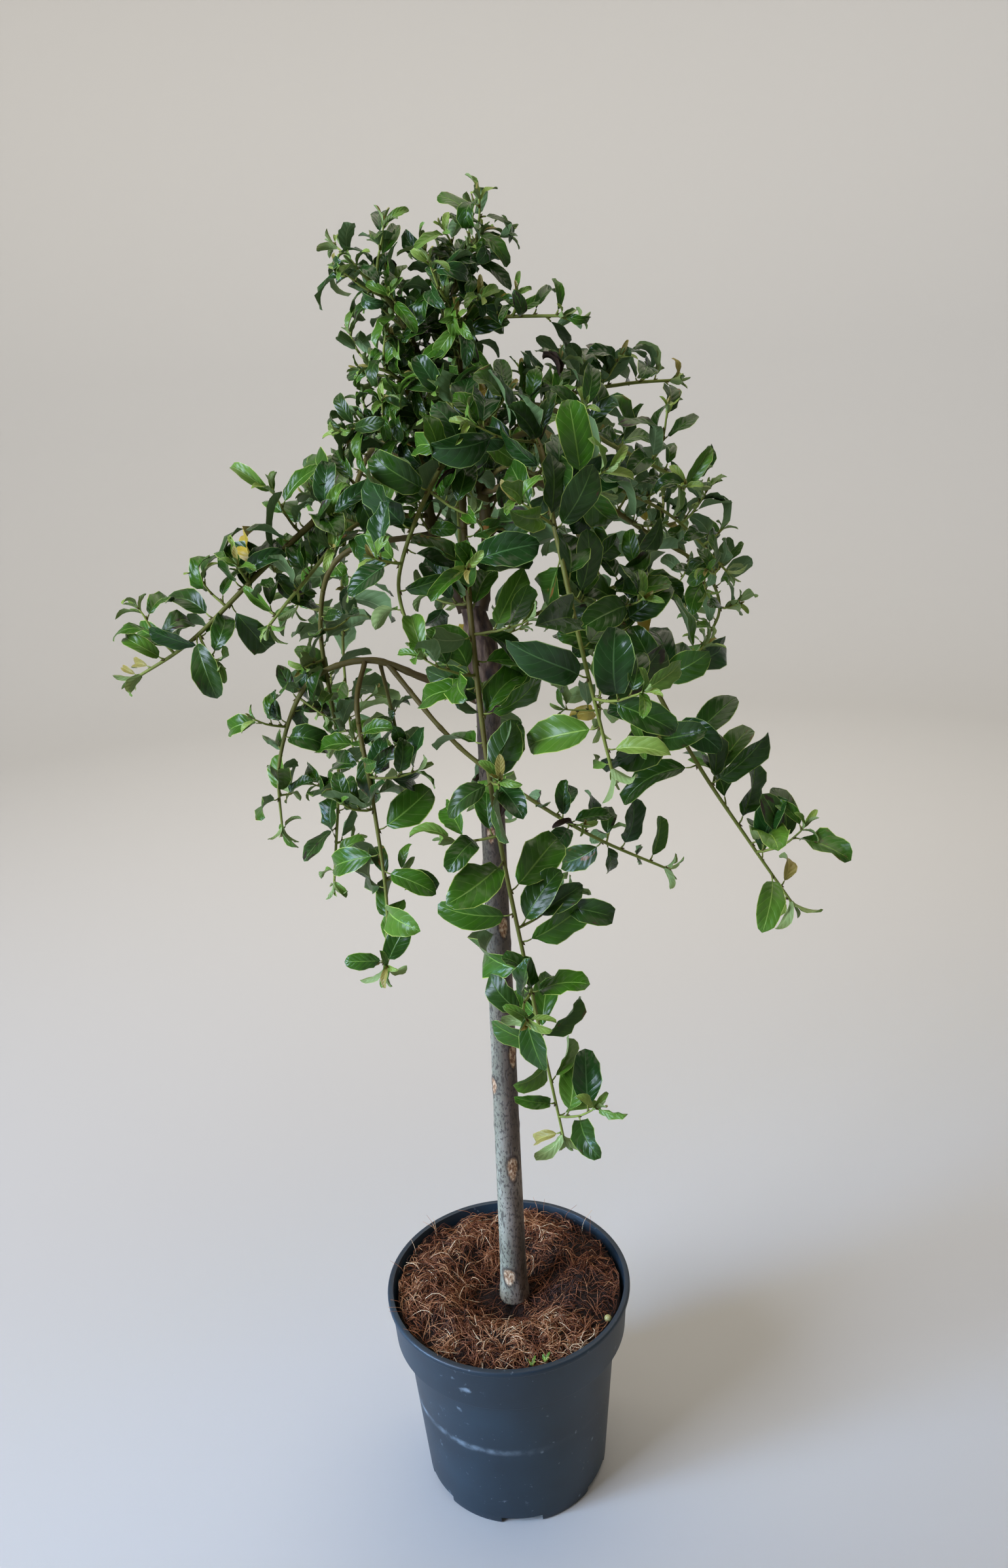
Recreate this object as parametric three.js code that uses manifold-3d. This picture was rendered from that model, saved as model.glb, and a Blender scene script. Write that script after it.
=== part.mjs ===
// A weeping willow grafted on a straight stem, standing in its nursery pot.
// Millimetres, +Z up. The origin is the middle of the pot's flat underside.
import * as THREE from "three";
import { mergeVertices } from "three/addons/utils/BufferGeometryUtils.js";
import Module from "manifold-3d";

const wasm = await Module();
wasm.setup();

// ---------- driving dimensions ----------

const potHeight = 171.5;
const rimRadius = 95;
const wall = 2;
const clearance = 0.35; // kept between touching pieces

const lip = { height: 4, proud: 2, chamfer: 1 };
const collar = { height: 38, topRadius: 92.5, bottomRadius: 90.5, shoulder: 4, innerStep: 1 };
const body = { topRadius: 82.5, footRadius: 72.5, footRound: 2.5, footSteps: 3 };
const underside = { discRadius: 30, ringInner: 58, recess: 3, slope: 2, floorTop: 8.5 };
const notch = { count: 6, width: 32, height: 6.5, firstTurn: 270, overshoot: 4 };

// The coir lies flat round the stem, rises to a low ring and falls again to the pot's wall.
const coir = {
  flatRadius: 20,
  flatHeight: 155,
  crestRadius: 56,
  crestHeight: 168.5,
  edgeHeight: 164,
  edgeRound: 2,
  wallGap: 1,
  steps: 4,
};

// The stem leans from x = footX at the soil to x = topX at the graft.
const stem = {
  footX: 4,
  topX: 8,
  graftHeight: 645,
  baseRadius: 10.3,
  topRadius: 7.8,
  flare: 1.6,
  flareFade: 14,
};
const knob = { middleX: 6, topX: 1, top: 703, radius: 10.5, neck: 8, shoulder: 0.1 };

const POT_SIDES = 40;
const COIR_SIDES = 24;
const STEM_SIDES = 12;
const STEM_RINGS = 14;
const KNOB_RINGS = 6;
const BOUGH_SIDES = 6;
const MASS_SIDES = 8;
const MASS_RINGS = 9;
const BOUGH_STEP = 22; // length of one ring of a bough
const TIP_RADIUS = 0.9; // of a limb, where it ends
const LEAF_OVERHANG = 10; // how far leaves reach past the tip of their shoot
const MASS_BLUNTNESS = 0.6; // 1 gives a mass pointed ends, and less gives it rounder ones
const MASS_TAPER = 0.3; // how much narrower a mass is at its tip than at its start

// A mass swells and shrinks round its shoot and along it. Each wave has a size, as a share of the
// mass's spread, the crests that it has round the shoot, how it winds along it, and how far it
// moves on from one mass to the next, in radians.
const massWaves = [
  { size: 0.13, crests: 2, winding: 2, shift: 1.7 },
  { size: 0.1, crests: 3, winding: -5, shift: -2.3 },
  { size: 0.12, crests: 0, winding: 11, shift: 1.1 },
];

// ---------- the plan of the crown ----------
// Each limb runs through the places in "through". A place is [turn in degrees seen from above,
// reach from the pot's axis, height above the table]. It begins at the place "start", or "from"
// another limb, at a share of that limb's length.
// "thick" is its radius at the start. "bare" is the share of its length that carries no leaves,
// and "spread" is how far its leaves stand out. With no "spread" it is a limb and no mass,
// and with "bare" 0 its leaves begin on the limb it grows from, so it is a mass and no limb.

const crown = [
  { name: "leader_left", thick: 5.2, start: [180, 3, 700],
    through: [[168, 20, 745], [160, 26, 800], [180, 22, 856]] },
  { name: "leader_right", thick: 5.2, start: [0, 6, 700],
    through: [[20, 14, 740], [30, 10, 795], [120, 5, 880]] },

  { name: "top_left", thick: 1.8, bare: 0, spread: 30, from: ["leader_left", 1],
    through: [[196, 36, 882], [197, 59, 906]] },
  { name: "top_centre", thick: 1.8, bare: 0, spread: 30, from: ["leader_right", 1],
    through: [[0, 4, 898], [0, 19, 922]] },
  { name: "top_right_sprig", thick: 1.4, bare: 0.45, spread: 17, from: ["leader_right", 0.92],
    through: [[312, 27, 873], [332, 72, 872]] },
  { name: "top_front", thick: 1.6, bare: 0, spread: 33, from: ["leader_right", 0.8],
    through: [[280, 12, 868], [262, 26, 886]] },
  { name: "left_high_tuft", thick: 1.4, bare: 0, spread: 24, from: ["leader_left", 0.85],
    through: [[188, 40, 846], [190, 52, 850]] },
  { name: "left_tuft", thick: 1.6, bare: 0, spread: 26, from: ["leader_left", 0.65],
    through: [[184, 42, 812], [192, 60, 818]] },
  { name: "centre_front", thick: 1.7, bare: 0, spread: 32, from: ["leader_right", 0.5],
    through: [[285, 20, 812], [268, 36, 828]] },

  { name: "low_left", thick: 2.8, bare: 0.5, spread: 29, start: [0, 8, 637],
    through: [[180, 32, 657], [175, 70, 670], [173, 112, 654], [171, 138, 600], [171, 142, 545]] },
  { name: "inner_left", thick: 1.8, bare: 0.22, spread: 30, from: ["low_left", 0.35],
    through: [[196, 79, 645], [206, 78, 590], [215, 80, 520], [214, 86, 468]] },
  { name: "middle_left", thick: 2, bare: 0.3, spread: 27, from: ["leader_left", 0.33],
    through: [[166, 83, 737], [162, 106, 690], [160, 104, 600], [162, 116, 495]] },
  { name: "left_behind", thick: 1.4, bare: 0.4, spread: 22, from: ["low_left", 0.31],
    through: [[150, 66, 622], [142, 70, 590], [139, 76, 565]] },
  { name: "low_right", thick: 1.8, bare: 0.52, spread: 27, from: ["low_left", 0.29],
    through: [[231, 33, 627], [285, 38, 600], [326, 80, 560], [346, 128, 524]] },

  { name: "left_arch", thick: 2.6, bare: 0.2, spread: 33, from: ["leader_left", 0.5],
    through: [[198, 62, 784], [199, 119, 747], [198, 174, 702], [195, 212, 679]] },
  { name: "left_shoulder", thick: 1.7, bare: 0.2, spread: 28, from: ["leader_left", 0.4],
    through: [[205, 70, 762], [206, 112, 728], [204, 134, 705]] },

  { name: "right_high", thick: 2, bare: 0.2, spread: 34, from: ["leader_right", 0.52],
    through: [[21, 68, 826], [16, 108, 833], [12, 142, 834]] },
  { name: "right_front_high", thick: 2, bare: 0.2, spread: 30, from: ["leader_right", 0.58],
    through: [[341, 48, 824], [339, 98, 798], [342, 144, 774]] },
  { name: "right_outer", thick: 2.6, bare: 0.42, spread: 30, from: ["leader_right", 0.26],
    through: [[28, 64, 777], [31, 152, 731], [29, 192, 705], [30, 212, 672], [32, 199, 642]] },
  { name: "right_middle", thick: 1.8, bare: 0.3, spread: 26, from: ["leader_right", 0.37],
    through: [[22, 62, 782], [20, 140, 752], [16, 188, 704]] },
  { name: "right_front", thick: 2.1, bare: 0.25, spread: 34, from: ["leader_right", 0.49],
    through: [[304, 72, 809], [293, 122, 762], [294, 142, 704], [300, 150, 624]] },
  { name: "right_weeping", thick: 2.1, bare: 0.3, spread: 35, from: ["leader_right", 0.41],
    through: [[315, 70, 778], [316, 118, 706], [326, 152, 624], [333, 184, 562], [340, 210, 510]] },

  { name: "front_long", thick: 2.2, bare: 0.2, spread: 38, from: ["leader_right", 0.55],
    through: [[270, 58, 790], [270, 94, 712], [274, 110, 600], [284, 108, 468], [293, 108, 362]] },
  { name: "front_left", thick: 2, bare: 0.2, spread: 32, from: ["leader_right", 0.62],
    through: [[298, 40, 817], [262, 82, 795], [248, 102, 740], [251, 102, 700]] },
  { name: "front_middle", thick: 1.6, bare: 0.25, spread: 28, from: ["leader_right", 0.44],
    through: [[320, 40, 790], [322, 74, 772], [326, 92, 744]] },

  { name: "back_left", thick: 2.2, bare: 0.2, spread: 32, from: ["leader_left", 0.53],
    through: [[132, 84, 802], [128, 140, 742], [126, 168, 650], [124, 178, 562]] },
  { name: "back_middle", thick: 2.2, bare: 0.2, spread: 32, from: ["leader_right", 0.56],
    through: [[92, 60, 822], [92, 118, 796], [92, 150, 738], [92, 160, 680]] },
  { name: "back_right", thick: 2.2, bare: 0.2, spread: 32, from: ["leader_right", 0.47],
    through: [[58, 80, 806], [54, 138, 748], [55, 168, 655], [57, 180, 568]] },
  { name: "back_low", thick: 1.8, bare: 0.3, spread: 26, start: [60, 6, 694],
    through: [[84, 50, 712], [86, 88, 670], [86, 102, 590], [86, 106, 516]] },
];

// ---------- helpers ----------

// Where a place of the plan is, in the part's own axes.
function placeAt([turn, reach, height]) {
  const angle = THREE.MathUtils.degToRad(turn);
  return new THREE.Vector3(reach * Math.cos(angle), reach * Math.sin(angle), height);
}

function curveThrough(points) {
  return new THREE.CatmullRomCurve3(points, false, "catmullrom", 0.5);
}

// The stretch of a curve from one share of its length to another.
function stretchOf(curve, from, to, pieces) {
  const points = [];
  for (let i = 0; i <= pieces; i++) points.push(curve.getPointAt(from + ((to - from) * i) / pieces));
  return curveThrough(points);
}

// Lays a closed shape whose axis is Y along a curve. "shareAlong" reads a vertex's place on the axis,
// and "radiusAt" gives the distance from the curve there.
function layAlong(geometry, rings, curve, shareAlong, radiusAt) {
  const frames = curve.computeFrenetFrames(rings);
  const vertices = geometry.attributes.position;
  for (let i = 0; i < vertices.count; i++) {
    const [x, y, z] = [vertices.getX(i), vertices.getY(i), vertices.getZ(i)];
    const share = shareAlong(y);
    const ring = Math.round(share * rings);
    const turn = Math.atan2(z, x);
    const onAxis = Math.hypot(x, z) < 1e-6;
    const radius = onAxis ? 0 : radiusAt(share, turn);
    const spot = curve
      .getPointAt(share)
      .addScaledVector(frames.binormals[ring], radius * Math.cos(turn))
      .addScaledVector(frames.normals[ring], radius * Math.sin(turn));
    vertices.setXYZ(i, spot.x, spot.y, spot.z);
  }
  return geometry;
}

// A round bar along a curve, with flat ends.
function barAlong(curve, rings, sides, radiusAt) {
  const bar = new THREE.CylinderGeometry(1, 1, 1, sides, rings);
  return layAlong(bar, rings, curve, (y) => THREE.MathUtils.clamp(y + 0.5, 0, 1), radiusAt);
}

// A ball drawn out along a curve.
function ballAlong(curve, radiusAt) {
  const ball = new THREE.SphereGeometry(1, MASS_SIDES, MASS_RINGS);
  const shareAlong = (y) => 1 - Math.acos(THREE.MathUtils.clamp(y, -1, 1)) / Math.PI;
  return layAlong(ball, MASS_RINGS, curve, shareAlong, radiusAt);
}

function solidOf(geometry) {
  const bare = geometry.clone();
  bare.deleteAttribute("normal");
  bare.deleteAttribute("uv");
  const merged = mergeVertices(bare, 1e-4);
  return new wasm.Manifold(
    new wasm.Mesh({
      numProp: 3,
      vertProperties: merged.attributes.position.array,
      triVerts: new Uint32Array(merged.index.array),
    }),
  );
}

function geometryOf(solid) {
  const { vertProperties, triVerts } = solid.getMesh();
  const geometry = new THREE.BufferGeometry();
  geometry.setAttribute("position", new THREE.BufferAttribute(vertProperties, 3));
  geometry.setIndex(new THREE.BufferAttribute(triVerts, 1));
  geometry.computeVertexNormals();
  return geometry;
}

// What a cut leaves can fall into several pieces, and only the largest is kept.
function largestPiece(solid) {
  return solid.decompose().reduce((best, piece) => (piece.volume() > best.volume() ? piece : best));
}

function finish(color, roughness, metalness = 0) {
  return new THREE.MeshStandardMaterial({ color, roughness, metalness });
}

const plant = new THREE.Group();

function addPart(name, geometry, material) {
  const mesh = new THREE.Mesh(geometry, material);
  mesh.name = name;
  plant.add(mesh);
}

// ---------- the pot ----------

const potPlastic = finish("#39434c", 0.55);
const coirFibre = finish("#6b4430", 0.95);
const stemBark = finish("#8b8a7c", 0.85);
const boughBark = finish("#5b4636", 0.85);
const leafGreen = finish("#2f5a2c", 0.5);

const shoulderTop = potHeight - collar.height;
const shoulderBottom = shoulderTop - collar.shoulder;

// The radius of the pot's outer side, under the collar, at a height.
function bodyRadius(height) {
  const share = (height - body.footRound) / (shoulderBottom - body.footRound);
  return body.footRadius + (body.topRadius - body.footRadius) * share;
}

function potProfile() {
  const corner = [];
  for (let i = 0; i <= body.footSteps; i++) {
    const angle = ((i / body.footSteps) * Math.PI) / 2;
    corner.push([
      body.footRadius - body.footRound * (1 - Math.sin(angle)),
      body.footRound * (1 - Math.cos(angle)),
    ]);
  }
  return [
    [0, 0],
    [underside.discRadius, 0],
    [underside.discRadius + underside.slope, underside.recess],
    [underside.ringInner - underside.slope, underside.recess],
    [underside.ringInner, 0],
    ...corner,
    [body.topRadius, shoulderBottom],
    [collar.bottomRadius, shoulderTop],
    [collar.topRadius, potHeight - lip.height - lip.proud],
    [rimRadius, potHeight - lip.height],
    [rimRadius, potHeight - lip.chamfer],
    [rimRadius - lip.chamfer, potHeight],
    [collar.topRadius - wall, potHeight],
    [collar.bottomRadius - wall, shoulderTop + collar.innerStep],
    [body.topRadius - wall, shoulderBottom + collar.innerStep],
    [bodyRadius(underside.floorTop) - wall, underside.floorTop],
    [0, underside.floorTop],
  ].map(([radius, height]) => new THREE.Vector2(radius, height));
}

function turned(points, sides) {
  return new THREE.LatheGeometry(points, sides).rotateX(Math.PI / 2);
}

// Drain notches cut through the foot ring, under the floor.
function drainNotches() {
  const inner = underside.ringInner - 2 * underside.slope;
  const outer = body.footRadius + notch.overshoot;
  const cuts = [];
  for (let i = 0; i < notch.count; i++) {
    const turn = notch.firstTurn + (360 / notch.count) * i;
    const cut = new THREE.BoxGeometry(outer - inner, notch.width, 2 * notch.height);
    cut.translate((outer + inner) / 2, 0, 0);
    cut.rotateZ(THREE.MathUtils.degToRad(turn));
    cuts.push(solidOf(cut));
  }
  return cuts;
}

function makePot() {
  let pot = solidOf(turned(potProfile(), POT_SIDES));
  for (const cut of drainNotches()) pot = pot.subtract(cut);
  return pot;
}

// ---------- the coir-topped root ball ----------

function coirProfile() {
  const floor = underside.floorTop + clearance;
  const gap = wall + coir.wallGap;
  const side = collar.bottomRadius - gap;
  const edge = side - coir.edgeRound;
  const points = [
    [0, floor],
    [bodyRadius(floor) - gap, floor],
    [body.topRadius - gap, shoulderBottom + collar.innerStep],
    [side, shoulderTop + collar.innerStep],
    [side, coir.edgeHeight - coir.edgeRound],
  ];
  for (let i = 0; i <= coir.steps; i++) {
    const share = i / coir.steps;
    const rise = (coir.crestHeight - coir.edgeHeight) * Math.sin((share * Math.PI) / 2);
    points.push([edge + (coir.crestRadius - edge) * share, coir.edgeHeight + rise]);
  }
  for (let i = 1; i <= coir.steps; i++) {
    const share = i / coir.steps;
    const rise = ((coir.crestHeight - coir.flatHeight) * (1 + Math.cos(Math.PI * share))) / 2;
    points.push([
      coir.crestRadius + (coir.flatRadius - coir.crestRadius) * share,
      coir.flatHeight + rise,
    ]);
  }
  points.push([0, coir.flatHeight]);
  return points.map(([radius, height]) => new THREE.Vector2(radius, height));
}

// ---------- the stem and the graft ----------

const soilLevel = coir.flatHeight + clearance;

// The stem leans a little: its middle at a height.
function stemMiddle(height) {
  const share = (height - soilLevel) / (stem.graftHeight - soilLevel);
  return new THREE.Vector3(stem.footX + (stem.topX - stem.footX) * share, 0, height);
}

function makeStem(swell = 0) {
  const spine = new THREE.LineCurve3(stemMiddle(soilLevel), stemMiddle(stem.graftHeight + swell));
  const length = stem.graftHeight - soilLevel;
  return barAlong(spine, STEM_RINGS, STEM_SIDES, (share) => {
    const taper = stem.baseRadius + (stem.topRadius - stem.baseRadius) * share;
    return taper + stem.flare * Math.exp((-share * length) / stem.flareFade) + swell;
  });
}

// The swollen graft, between the stem and the limbs.
function makeKnob(swell = 0) {
  const spine = curveThrough([
    stemMiddle(stem.graftHeight),
    new THREE.Vector3(knob.middleX, 0, (stem.graftHeight + knob.top) / 2),
    new THREE.Vector3(knob.topX, 0, knob.top),
  ]);
  return barAlong(spine, KNOB_RINGS, STEM_SIDES, (share) => {
    const bulge = Math.sin(Math.PI * Math.min(1, knob.shoulder + share));
    return knob.neck + (knob.radius - knob.neck) * bulge + swell;
  });
}

// ---------- limbs and masses ----------

function limbCurve(limb) {
  const begin = limb.start ? placeAt(limb.start) : pointOnLimb(...limb.from);
  return curveThrough([begin, ...limb.through.map(placeAt)]);
}

function pointOnLimb(name, share) {
  return limbCurve(crown.find((limb) => limb.name === name)).getPointAt(share);
}

// The bare stretch of a limb, from where it leaves to where its leaves begin.
function makeBough(limb, swell = 0) {
  const whole = limbCurve(limb);
  const end = limb.spread ? limb.bare : 1;
  const length = whole.getLength() * end;
  const rings = Math.max(2, Math.round(length / BOUGH_STEP));
  const stretch = stretchOf(whole, 0, end - (2 * clearance) / whole.getLength(), 2 * rings);
  return barAlong(stretch, rings, BOUGH_SIDES, (share) => {
    return limb.thick + (TIP_RADIUS - limb.thick) * share * end + swell;
  });
}

// The leafy stretch of a limb as one uneven solid, with its own lumps.
function makeMass(limb, order, swell = 0) {
  const whole = limbCurve(limb);
  const end = whole.getPointAt(1).addScaledVector(whole.getTangentAt(1), LEAF_OVERHANG);
  const points = [];
  for (let i = 0; i < MASS_RINGS; i++) {
    points.push(whole.getPointAt(limb.bare + ((1 - limb.bare) * i) / (MASS_RINGS - 1)));
  }
  return ballAlong(curveThrough([...points, end]), (share, turn) => {
    const blunt = Math.pow(Math.sin(Math.PI * share), MASS_BLUNTNESS);
    const smoothRadius = limb.spread * blunt * (1 - MASS_TAPER * share);
    let lumps = 1;
    for (const { size, crests, winding, shift } of massWaves) {
      lumps += size * Math.sin(crests * turn + winding * share + shift * order);
    }
    return Math.max(0, smoothRadius * lumps + swell);
  });
}

// ---------- assembly ----------

addPart("pot", geometryOf(makePot()), potPlastic);
addPart("growing_medium", turned(coirProfile(), COIR_SIDES), coirFibre);
addPart("stem", makeStem(), stemBark);
const stemRoom = solidOf(makeStem(clearance));
addPart("graft_knob", geometryOf(largestPiece(solidOf(makeKnob()).subtract(stemRoom))), boughBark);

let taken = stemRoom.add(solidOf(makeKnob(clearance)));

// Each limb is cut clear of the ones before it.
for (const limb of crown.filter(({ bare }) => bare !== 0)) {
  const bough = largestPiece(solidOf(makeBough(limb)).subtract(taken));
  addPart("bough_" + limb.name, geometryOf(bough), boughBark);
  taken = taken.add(solidOf(makeBough(limb, clearance)));
}

// Each mass is cut round the limbs and round the masses before it.
crown
  .filter((limb) => limb.spread)
  .forEach((limb, order) => {
    const mass = largestPiece(solidOf(makeMass(limb, order)).subtract(taken));
    addPart("mass_" + limb.name, geometryOf(mass), leafGreen);
    taken = taken.add(solidOf(makeMass(limb, order, clearance)));
  });

export default plant;
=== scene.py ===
"""A weeping willow grafted on a straight stem, in its nursery pot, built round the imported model."""

import math
import random
from collections import namedtuple

import bmesh
import bpy
from mathutils import Matrix, Vector, noise


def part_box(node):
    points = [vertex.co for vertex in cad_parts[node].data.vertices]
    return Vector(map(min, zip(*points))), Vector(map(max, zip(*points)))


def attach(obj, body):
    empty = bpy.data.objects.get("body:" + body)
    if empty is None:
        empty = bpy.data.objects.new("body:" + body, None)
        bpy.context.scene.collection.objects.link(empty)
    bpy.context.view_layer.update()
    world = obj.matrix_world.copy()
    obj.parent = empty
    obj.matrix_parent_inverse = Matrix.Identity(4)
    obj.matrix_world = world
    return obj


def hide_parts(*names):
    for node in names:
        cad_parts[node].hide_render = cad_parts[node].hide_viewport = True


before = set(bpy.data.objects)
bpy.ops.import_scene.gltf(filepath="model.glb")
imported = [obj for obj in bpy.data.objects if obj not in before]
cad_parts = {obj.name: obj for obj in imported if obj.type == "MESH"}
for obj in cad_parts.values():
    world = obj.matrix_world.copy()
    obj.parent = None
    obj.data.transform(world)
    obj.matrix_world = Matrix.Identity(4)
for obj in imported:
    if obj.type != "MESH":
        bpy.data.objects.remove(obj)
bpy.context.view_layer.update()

MM = 0.001
UP = Vector((0, 0, 1))
FRONT = Vector((0, -1, 0))

# ---------- the plan of the crown ----------
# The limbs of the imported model, in millimetres. A place is (turn in degrees seen from above, reach from
# the pot's axis, height). "thick" is a limb's radius where it starts, and "root" a place on the stem, or
# another limb and a share of its length. "bare" is the share of a limb that carries no leaves, "leaf" the
# length of its leaves and "gap" the distance between them. A limb with no habit bears only short spurs.

Limb = namedtuple("Limb", "thick root through bare habit leaf gap", defaults=(1, None, 0, 0))

CROWN = {
    "leader_left": Limb(5.2, (180, 3, 700), [(168, 20, 745), (160, 26, 800), (180, 22, 856)]),
    "leader_right": Limb(5.2, (0, 6, 700), [(20, 14, 740), (30, 10, 795), (120, 5, 880)]),
    "top_left": Limb(
        1.8, ("leader_left", 1), [(196, 36, 882), (197, 59, 906)], 0, "tuft", 27, 6),
    "top_centre": Limb(
        1.8, ("leader_right", 1), [(0, 4, 898), (0, 19, 922)], 0, "tuft", 26, 6),
    "top_right_sprig": Limb(
        1.4, ("leader_right", 0.92), [(312, 27, 873), (332, 72, 872)], 0.45, "sprig", 24, 7),
    "top_front": Limb(
        1.6, ("leader_right", 0.8), [(280, 12, 868), (262, 26, 886)], 0, "tuft", 31, 7),
    "left_high_tuft": Limb(
        1.4, ("leader_left", 0.85), [(188, 40, 846), (190, 52, 850)], 0, "tuft", 24, 6),
    "left_tuft": Limb(
        1.6, ("leader_left", 0.65), [(184, 42, 812), (192, 60, 818)], 0, "tuft", 26, 6),
    "centre_front": Limb(
        1.7, ("leader_right", 0.5), [(285, 20, 812), (268, 36, 828)], 0, "tuft", 30, 7),
    "low_left": Limb(
        2.8, (0, 8, 637),
        [(180, 32, 657), (175, 70, 670), (173, 112, 654), (171, 138, 600), (171, 142, 545)],
        0.5, "hanging", 31, 12),
    "inner_left": Limb(
        1.8, ("low_left", 0.35), [(196, 79, 645), (206, 78, 590), (215, 80, 520), (214, 86, 468)],
        0.22, "hanging", 36, 14),
    "middle_left": Limb(
        2, ("leader_left", 0.33), [(166, 83, 737), (162, 106, 690), (160, 104, 600), (162, 116, 495)],
        0.3, "hanging", 33, 12),
    "left_behind": Limb(
        1.4, ("low_left", 0.31), [(150, 66, 622), (142, 70, 590), (139, 76, 565)],
        0.4, "hanging", 28, 12),
    "low_right": Limb(
        1.8, ("low_left", 0.29), [(231, 33, 627), (285, 38, 600), (326, 80, 560), (346, 128, 524)],
        0.52, "hanging", 31, 13),
    "left_arch": Limb(
        2.6, ("leader_left", 0.5), [(198, 62, 784), (199, 119, 747), (198, 174, 702), (195, 212, 679)],
        0.2, "arching", 36, 13),
    "left_shoulder": Limb(
        1.7, ("leader_left", 0.4), [(205, 70, 762), (206, 112, 728), (204, 134, 705)],
        0.2, "arching", 30, 10),
    "right_high": Limb(
        2, ("leader_right", 0.52), [(21, 68, 826), (16, 108, 833), (12, 142, 834)],
        0.2, "arching", 31, 9),
    "right_front_high": Limb(
        2, ("leader_right", 0.58), [(341, 48, 824), (339, 98, 798), (342, 144, 774)],
        0.2, "arching", 32, 10),
    "right_outer": Limb(
        2.6, ("leader_right", 0.26),
        [(28, 64, 777), (31, 152, 731), (29, 192, 705), (30, 212, 672), (32, 199, 642)],
        0.42, "arching", 30, 9),
    "right_middle": Limb(
        1.8, ("leader_right", 0.37), [(22, 62, 782), (20, 140, 752), (16, 188, 704)],
        0.3, "arching", 30, 10),
    "right_front": Limb(
        2.1, ("leader_right", 0.49), [(304, 72, 809), (293, 122, 762), (294, 142, 704), (300, 150, 624)],
        0.25, "hanging", 45, 15),
    "right_weeping": Limb(
        2.1, ("leader_right", 0.41),
        [(315, 70, 778), (316, 118, 706), (326, 152, 624), (333, 184, 562), (340, 210, 510)],
        0.3, "hanging", 42, 16),
    "front_long": Limb(
        2.2, ("leader_right", 0.55),
        [(270, 58, 790), (270, 94, 712), (274, 110, 600), (284, 108, 468), (293, 108, 362)],
        0.2, "hanging", 44, 18),
    "front_left": Limb(
        2, ("leader_right", 0.62), [(298, 40, 817), (262, 82, 795), (248, 102, 740), (251, 102, 700)],
        0.2, "hanging", 35, 12),
    "front_middle": Limb(
        1.6, ("leader_right", 0.44), [(320, 40, 790), (322, 74, 772), (326, 92, 744)],
        0.25, "hanging", 33, 11),
    "back_left": Limb(
        2.2, ("leader_left", 0.53), [(132, 84, 802), (128, 140, 742), (126, 168, 650), (124, 178, 562)],
        0.2, "hanging", 38, 14),
    "back_middle": Limb(
        2.2, ("leader_right", 0.56), [(92, 60, 822), (92, 118, 796), (92, 150, 738), (92, 160, 680)],
        0.2, "hanging", 38, 14),
    "back_right": Limb(
        2.2, ("leader_right", 0.47), [(58, 80, 806), (54, 138, 748), (55, 168, 655), (57, 180, 568)],
        0.2, "hanging", 38, 14),
    "back_low": Limb(
        1.8, (60, 6, 694), [(84, 50, 712), (86, 88, 670), (86, 102, 590), (86, 106, 516)],
        0.3, "hanging", 34, 14),
}

# How each habit grows. "side_gap" is the distance between side shoots and "leaf_gap" the distance between
# their leaves, in millimetres. "side_length" is a side shoot's length in leaf lengths, and "lift" how
# strongly it bends upwards. "all_round" is 0 where leaves stand in two rows and 1 where they stand all
# round the shoot, "rise" how far they point upwards, "curl" how far a leaf bends back along its length in
# degrees, and "slim" its width over its length.
Habit = namedtuple("Habit", "side_gap leaf_gap side_length lift all_round rise curl slim")

HABITS = {
    "hanging": Habit(50, 8, 0.85, 0.15, 0.35, 0.5, 46, 0.56),
    "arching": Habit(19, 7, 1.0, 0.35, 0.6, 0.75, 62, 0.48),
    "tuft": Habit(7, 6, 1.15, 0.12, 1, 0.2, 100, 0.38),
    "sprig": Habit(24, 6, 0.7, 0.35, 0.8, 0.5, 85, 0.38),
    "spur": Habit(7, 6, 0.9, 0.2, 1, 0.2, 65, 0.46),
}

TIP_RADIUS = 0.9 * MM
SIDE_SHOOT_RADIUS = 0.95 * MM
GOLDEN_TURN = math.radians(137.5)

# ---------- small helpers ----------


def linear(hex_colour):
    """An sRGB hex colour as linear red, green, blue and 1."""
    shares = [int(hex_colour[i : i + 2], 16) / 255 for i in (1, 3, 5)]
    return (*[c / 12.92 if c <= 0.04045 else ((c + 0.055) / 1.055) ** 2.4 for c in shares], 1)


def place(turn, reach, height):
    """A place of the plan, in metres."""
    angle = math.radians(turn)
    return Vector((reach * math.cos(angle), reach * math.sin(angle), height)) * MM


def smooth(value, low, high):
    """0 below low, 1 above high, and a smooth step between them."""
    share = min(1, max(0, (value - low) / (high - low)))
    return share * share * (3 - 2 * share)


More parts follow.
